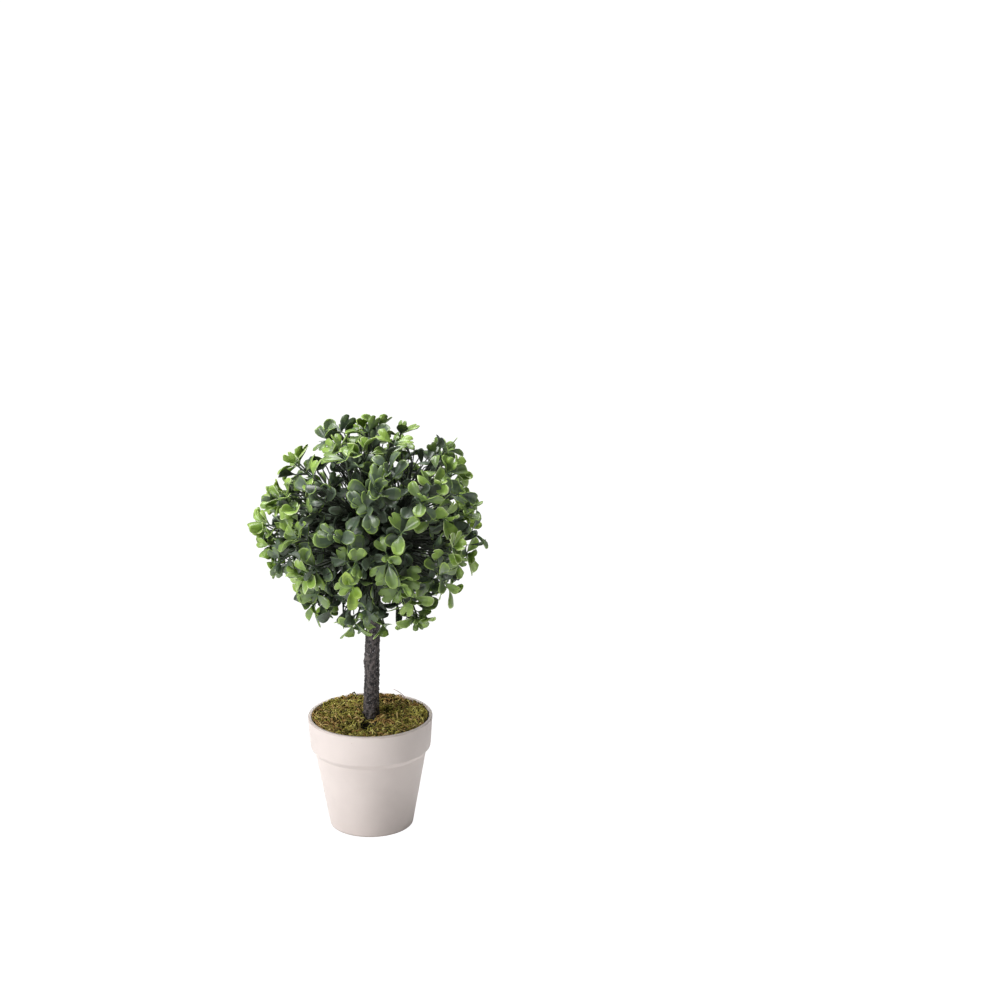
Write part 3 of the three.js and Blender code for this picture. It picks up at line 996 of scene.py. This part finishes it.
        # Each pair of leaves: its distance from the tip in millimetres, its kind and its twigs' kind.
        # The two deepest pairs are of the dark kind, whose near-black is painted shade.
        pairs = ((8, outer, tip), (17, inner, inner), (27, "dark", "dark"), (38, "dark", "dark"))
        for back, kind, twig_kind in pairs:
            share = 1 - back * rng.uniform(0.85, 1.15) * MM / length
            if share > 0.05:
                self.grow_node(path, share, turn, kind, twig_kind)
                turn += math.pi / 2
        self.grow_tip(Vector(path[-1]), Vector(path[-1] - path[-2]).normalized(), tip)
        self.grow_stalks(start, end, direction)

    def kinds_of(self, direction):
        """The kinds of leaf on a spray: at its tip, at its outer pair and at its inner pair."""
        age = self.rng.random() + 0.09 * direction.z
        if age < 0.12:
            return "lime", "fresh", "green"
        if age < 0.46:
            return "fresh", "green", "blue"
        if age < 0.76:
            return "green", "blue", "old"
        return "blue", "blue", "old"

    def grow_node(self, path, share, turn, kind, twig_kind):
        """A pair of opposite leaves, or short side twigs that end in smaller leaves."""
        rng = self.rng
        place, axis = point_on(path, share)
        side = axis.orthogonal().normalized()
        for half in (0, math.pi):
            if rng.random() < (self.DARK_GAPS if kind == "dark" else self.GAPS):
                continue
            out = Matrix.Rotation(turn + half + rng.gauss(0, 0.25), 3, axis) @ side
            blade = (axis * rng.uniform(0.1, 0.8) + out).normalized()
            if kind != "dark" and rng.random() < 0.4:
                blade = (axis * rng.uniform(0.5, 1.1) + out).normalized()
                foot = self.grow_twig(place, blade, rng.uniform(4, 9) * MM)
                self.grow_whorl(foot, blade, twig_kind, 2, 0.82)
            else:
                self.add_leaf(place, blade, axis, kind, heart=rng.random() < 0.3, size=1.05)

    def grow_twig(self, place, way, length):
        """A short side twig. Gives its end."""
        rod = self.twig_rod
        end = place + way * length
        bend = place.lerp(end, 0.5) + any_side(way, self.rng) * 0.6 * MM
        radii = rod.taper(*self.TWIG_RADII) * MM
        self.stems.add_rod(rod, curve_points(place, bend, end, rod.steps), radii)
        return end

    def grow_whorl(self, place, axis, kind, count, size):
        """Leaves spread evenly round a twig's or a stem's end."""
        rng = self.rng
        side = any_side(axis, rng)
        for number in range(count):
            out = Matrix.Rotation(math.tau * number / count + rng.gauss(0, 0.3), 3, axis) @ side
            blade = (axis * rng.uniform(0.2, 1.0) + out).normalized()
            self.add_leaf(place, blade, axis, kind, heart=rng.random() < 0.45, size=size)

    def grow_tip(self, place, axis, kind):
        """The stem's end: leaves spread round it, a smaller one on it and a tuft of needles."""
        rng = self.rng
        self.grow_whorl(place, axis, kind, rng.choice((2, 3, 3)), 0.95)
        if rng.random() < 0.7:
            blade = (axis + any_side(axis, rng) * rng.uniform(0.1, 0.7)).normalized()
            self.add_leaf(place, blade, any_side(blade, rng), kind, heart=rng.random() < 0.7, size=0.75)
        for _ in range(rng.randint(2, 5)):
            way = (axis * rng.uniform(0.2, 1) + any_side(axis, rng)).normalized()
            self.grow_needle(place, place + way * rng.uniform(3, 6) * MM)

    def grow_needle(self, start, end):
        path = curve_points(start, start.lerp(end, 0.5), end, self.needle_rod.steps)
        self.needles.add_rod(self.needle_rod, path, np.array(self.NEEDLE_RADII) * MM)

    def grow_stalks(self, start, end, direction):
        """Thin dark stalks that run beside the stem in the open middle of the crown, darker than the stems
        as painted shade.
        """
        rng, rod = self.rng, self.twig_rod
        for _ in range(self.STALKS):
            apart = any_side(direction, rng) * rng.uniform(2, 9) * MM
            tip = start.lerp(end, rng.uniform(0.6, 0.97)) + apart * 1.5
            bend = start.lerp(tip, 0.5) + apart * 0.5
            path = curve_points(start + apart * 0.2, bend, tip, rod.steps)
            self.stalks.add_rod(rod, path, rod.taper(*self.STALK_RADII) * MM)
            # Some stalks end in a leaf of the dark kind, painted shade.
            if rng.random() < 0.25:
                blade = (direction + any_side(direction, rng) * rng.uniform(0.2, 1.2)).normalized()
                self.add_leaf(tip, blade, direction, "dark", heart=False, size=0.8)

    def fill_core(self):
        """Dark leaves along the boughs, which close the middle of the ball, their near-black painted shade.
        """
        rng = self.rng
        for foot, tip in self.bough_ends.values():
            way = (tip - foot).normalized()
            for _ in range(self.look.bough_leaves):
                place = foot.lerp(tip, rng.uniform(0.5, 1))
                blade = (way * rng.uniform(-0.1, 1.2) + any_side(way, rng)).normalized()
                self.add_leaf(place, blade, way, "dark", heart=False, size=rng.uniform(0.9, 1.2))

    # ---------------- leaves

    def add_leaf(self, foot, blade, facing, kind, heart, size):
        """Sets one leaf with its foot in place, along its blade, upper side towards facing."""
        rng, look = self.rng, self.look
        shape = rng.choice(self.heart_shapes if heart else self.spoon_shapes)
        length = (look.heart_length if heart else look.spoon_length) * size * rng.uniform(0.82, 1.12)
        normal = facing - blade * facing.dot(blade)
        if normal.length < 0.05:
            normal = any_side(blade, rng)
        normal = Matrix.Rotation(rng.gauss(0, 0.4), 3, blade) @ normal.normalized()
        turned = np.array([blade.cross(normal), blade, normal]) * length
        run, rim = LEAF_KINDS[kind]
        share = shape.zones % UNDER_ZONE / 100 + rng.uniform(-0.12, 0.12)
        last = len(run) - 1
        steps = np.clip(np.rint(share * last), 0, last).astype(int)
        # Painted highlight: the rim faces take the kind's rim tone.
        tones = np.where(shape.zones == RIM_ZONE, rim, np.array(run)[steps])
        heap = self.inner if kind == "dark" else (self.hearts if heart else self.spoons)
        heap.add(shape, shape.points @ turned + np.array(foot), tones)

    def join_up(self):
        """Joins each kind of limb, stalk and leaf into its piece."""
        look = self.look
        stem = plain_material("stem_plastic", look.stem_colour)
        # The stalks' darker green is painted shade.
        stalk = plain_material("stalk_plastic", look.shaded_stalk_colour)
        needle = plain_material("needle_plastic", look.needle_colour)
        leaf_tones = toned("leaf_plastic", LEAF_TONES, roughness=0.34, spread=0.22, scale=160, specular=0.6)
        finish_piece(self.boughs.mesh("bough_limbs"), [stem], BOUGH_NODES)
        finish_piece(self.stems.mesh("spray_stems"), [stem], MASS_NODES)
        finish_piece(self.stalks.mesh("bare_stalks"), [stalk], MASS_NODES)
        finish_piece(self.needles.mesh("tip_needles"), [needle], MASS_NODES)
        finish_piece(self.spoons.mesh("spoon_leaves"), leaf_tones, MASS_NODES)
        finish_piece(self.hearts.mesh("heart_leaves"), leaf_tones, MASS_NODES)
        finish_piece(self.inner.mesh("inner_leaves"), leaf_tones, MASS_NODES)


# -------------------- Stage

# Each light's place, size across and setting for its power.
LIGHTS = {
    "key_light": ((-1.13, -0.92, 0.95), 0.9, "key_power"),
    "fill_light": ((1.3, -0.9, 0.7), 1.2, "fill_power"),
    "top_light": ((-0.1, 0.35, 1.5), 1.0, "top_power"),
}
LIGHTS_AIM = Vector((0, 0, 0.14))
WHITE = (1, 1, 1, 1)


class BOXBALL_OT_stage(Operator):
    """Sets the pale floor, the soft lights and the camera"""

    bl_idname = "boxball.stage"
    bl_label = "Stage"
    FLOOR_HALF = 12
    # How bright the floor shines as a light, and how bright the room looks behind the plant.
    FLOOR_SHINE, ROOM_SEEN = 0.12, 1.02
    CAMERA_PLACE = (0.0866, -1.5597, 0.6881)
    CAMERA_TILT = 16.5
    CAMERA_LENS, CAMERA_SENSOR = 90, 36

    def execute(self, context):
        look = settings("box_ball_stage")
        self.add_floor(look)
        for name, (place, size, power) in LIGHTS.items():
            self.add_light(name, place, size, getattr(look, power))
        self.add_sky(look)
        self.add_camera()
        bpy.context.scene.view_settings.view_transform = "Standard"
        return {"FINISHED"}

    def add_floor(self, look):
        """A floor that is an even white when seen, and a pale matt one as a light."""
        bm = bmesh.new()
        bmesh.ops.create_grid(bm, x_segments=1, y_segments=1, size=self.FLOOR_HALF)
        floor = bpy.data.objects.new("pale_floor", mesh_from(bm, "pale_floor"))
        bpy.context.scene.collection.objects.link(floor)
        material, tree, shader = new_material("pale_floor")
        uneven = placed_group(tree, uneven_surface, Scale=3, Detail=2)
        set_gloss(tree, shader, uneven["Broad"], 0.1, 0.7)
        seen = tree.nodes.new("ShaderNodeLightPath").outputs["Is Camera Ray"]
        black = (0, 0, 0)
        tree.links.new(blend_colour(tree, seen, look.floor_colour, black), shader.inputs["Base Color"])
        glow = maths(tree, "MULTIPLY_ADD", seen, look.floor_glow, self.FLOOR_SHINE)
        tree.links.new(glow, shader.inputs["Emission Strength"])
        shader.inputs["Emission Color"].default_value = WHITE
        floor.data.materials.append(material)

    @staticmethod
    def add_light(name, place, size, power):
        data = bpy.data.lights.new(name, "AREA")
        data.shape, data.size, data.energy = "DISK", size, power
        light = bpy.data.objects.new(name, data)
        light.location = place
        light.rotation_euler = (LIGHTS_AIM - light.location).to_track_quat("-Z", "Y").to_euler()
        bpy.context.scene.collection.objects.link(light)

    def add_sky(self, look):
        """A room that is brighter to the left and behind, and darker to the right."""
        world = bpy.data.worlds.new("studio_sky")
        bpy.context.scene.world = world
        world.use_nodes = True
        tree = world.node_tree
        way = tree.nodes.new("ShaderNodeTexCoord").outputs["Generated"]
        axes = add_node(tree, "ShaderNodeSeparateXYZ", links={"Vector": way}).outputs
        side = maths(tree, "MULTIPLY_ADD", axes["X"], -0.6 * look.sky, look.sky)
        room = maths(tree, "MULTIPLY_ADD", axes["Y"], 0.4 * look.sky, side)
        ray = tree.nodes.new("ShaderNodeLightPath").outputs["Is Camera Ray"]
        strength = maths(tree, "MAXIMUM", product(tree, ray, self.ROOM_SEEN), room)
        background = tree.nodes["Background"].inputs
        tree.links.new(strength, background["Strength"])
        background["Color"].default_value = WHITE

    def add_camera(self):
        data = bpy.data.cameras.new("camera")
        data.lens, data.sensor_width = self.CAMERA_LENS, self.CAMERA_SENSOR
        camera = bpy.data.objects.new("camera", data)
        camera.location = self.CAMERA_PLACE
        camera.rotation_euler = (math.radians(90 - self.CAMERA_TILT), 0, 0)
        bpy.context.scene.collection.objects.link(camera)
        bpy.context.scene.camera = camera


# -------------------- Panel and registration

OPERATORS = (BOXBALL_OT_stage, BOXBALL_OT_pot, BOXBALL_OT_moss, BOXBALL_OT_trunk, BOXBALL_OT_crown)
SETTINGS = {
    "box_ball_pot": BoxBallPotSettings,
    "box_ball_moss": BoxBallMossSettings,
    "box_ball_trunk": BoxBallTrunkSettings,
    "box_ball_crown": BoxBallCrownSettings,
    "box_ball_stage": BoxBallStageSettings,
}


class BOXBALL_PT_parts(Panel):
    """Lists the parts of the potted box ball"""

    bl_idname = "BOXBALL_PT_parts"
    bl_label = "Potted Box Ball"
    bl_space_type = "VIEW_3D"
    bl_region_type = "UI"
    bl_category = "Box Ball"

    def draw(self, context):
        for operator in OPERATORS:
            self.layout.operator(operator.bl_idname)


def register():
    for kind in (*SETTINGS.values(), *OPERATORS, BOXBALL_PT_parts):
        bpy.utils.register_class(kind)
    for name, kind in SETTINGS.items():
        setattr(bpy.types.Scene, name, PointerProperty(type=kind))


def unregister():
    for name in SETTINGS:
        delattr(bpy.types.Scene, name)
    for kind in (BOXBALL_PT_parts, *reversed(OPERATORS), *reversed(list(SETTINGS.values()))):
        bpy.utils.unregister_class(kind)


def main():
    register()
    bpy.ops.boxball.stage()
    bpy.ops.boxball.pot()
    bpy.ops.boxball.moss()
    bpy.ops.boxball.trunk()
    bpy.ops.boxball.crown()


if __name__ == "__main__":
    main()
